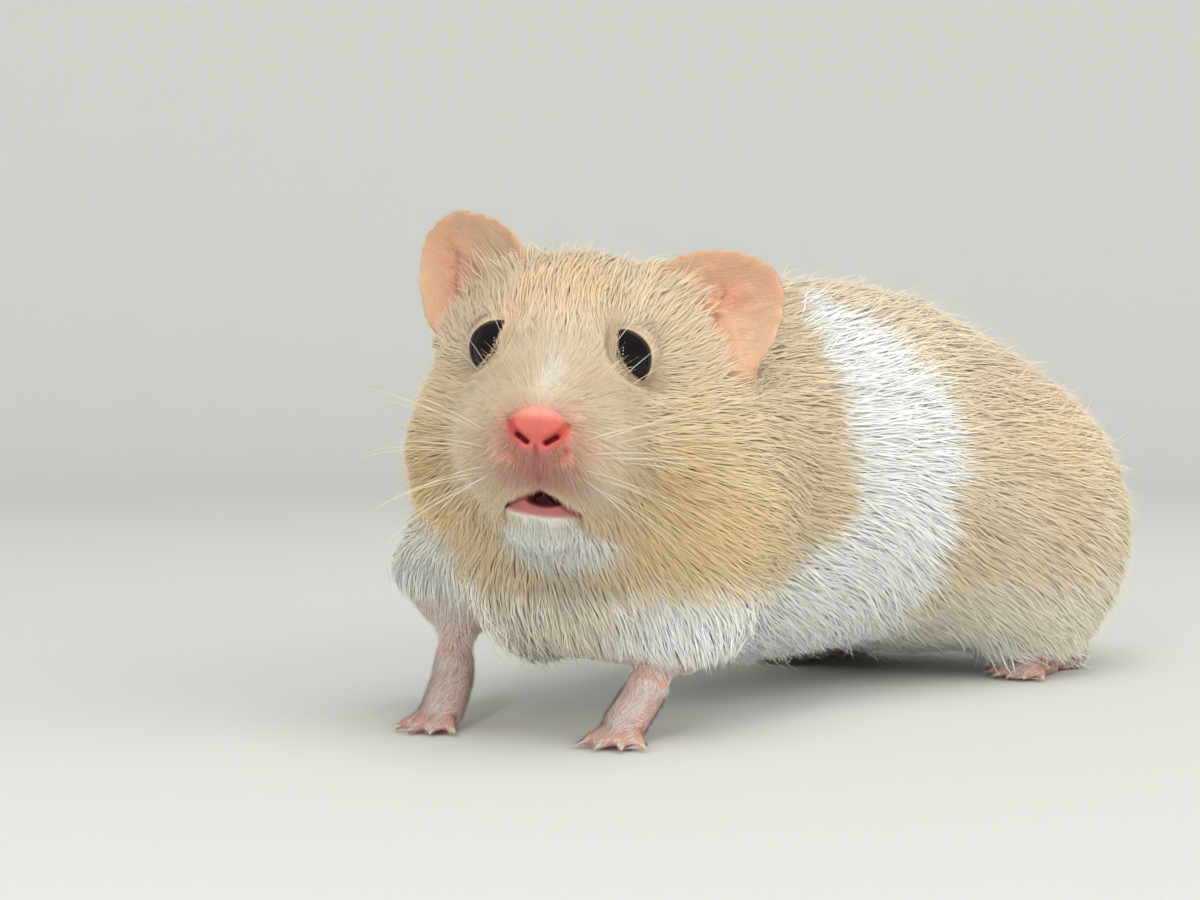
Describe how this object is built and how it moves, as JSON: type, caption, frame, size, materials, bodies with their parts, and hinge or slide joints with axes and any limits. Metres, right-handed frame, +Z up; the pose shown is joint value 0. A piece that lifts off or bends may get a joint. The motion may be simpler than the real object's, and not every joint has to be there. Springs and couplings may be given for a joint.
{
  "type": "syrian hamster",
  "caption": "Life-size still model of a long-haired cream and white Syrian hamster, standing with its head lifted and turned to its left.",
  "frame": {"origin": "bottom centre of the whole animal's box, on the floor", "axes": "+Z up, the body faces -Y, +X towards the animal's left side"},
  "size_m": [0.0654, 0.1414, 0.0643],
  "materials": {
    "coat_cream": "soft long fur, warm cream with darker beige tips",
    "coat_white": "soft long fur, white",
    "bare_skin": "thin bare skin, pink, with sparse short hairs",
    "ear_skin": "thin ear skin, pinkish tan, with fine down",
    "eye": "wet black gloss"
  },
  "bodies": {
    "root": {"head": "coat_cream", "nose": "bare_skin", "jaw": "coat_white", "ear_left": "ear_skin", "ear_right": "ear_skin", "eye_left": "eye", "eye_right": "eye", "neck": "coat_cream", "chest": "coat_white", "trunk": "coat_white", "rump": "coat_cream", "tail": "bare_skin", "foreleg_left": "coat_white", "forepaw_left": "bare_skin", "hindleg_left": "coat_cream", "hindfoot_left": "bare_skin", "foreleg_right": "coat_white", "forepaw_right": "bare_skin", "hindleg_right": "coat_cream", "hindfoot_right": "bare_skin"}
  },
  "joints": []
}
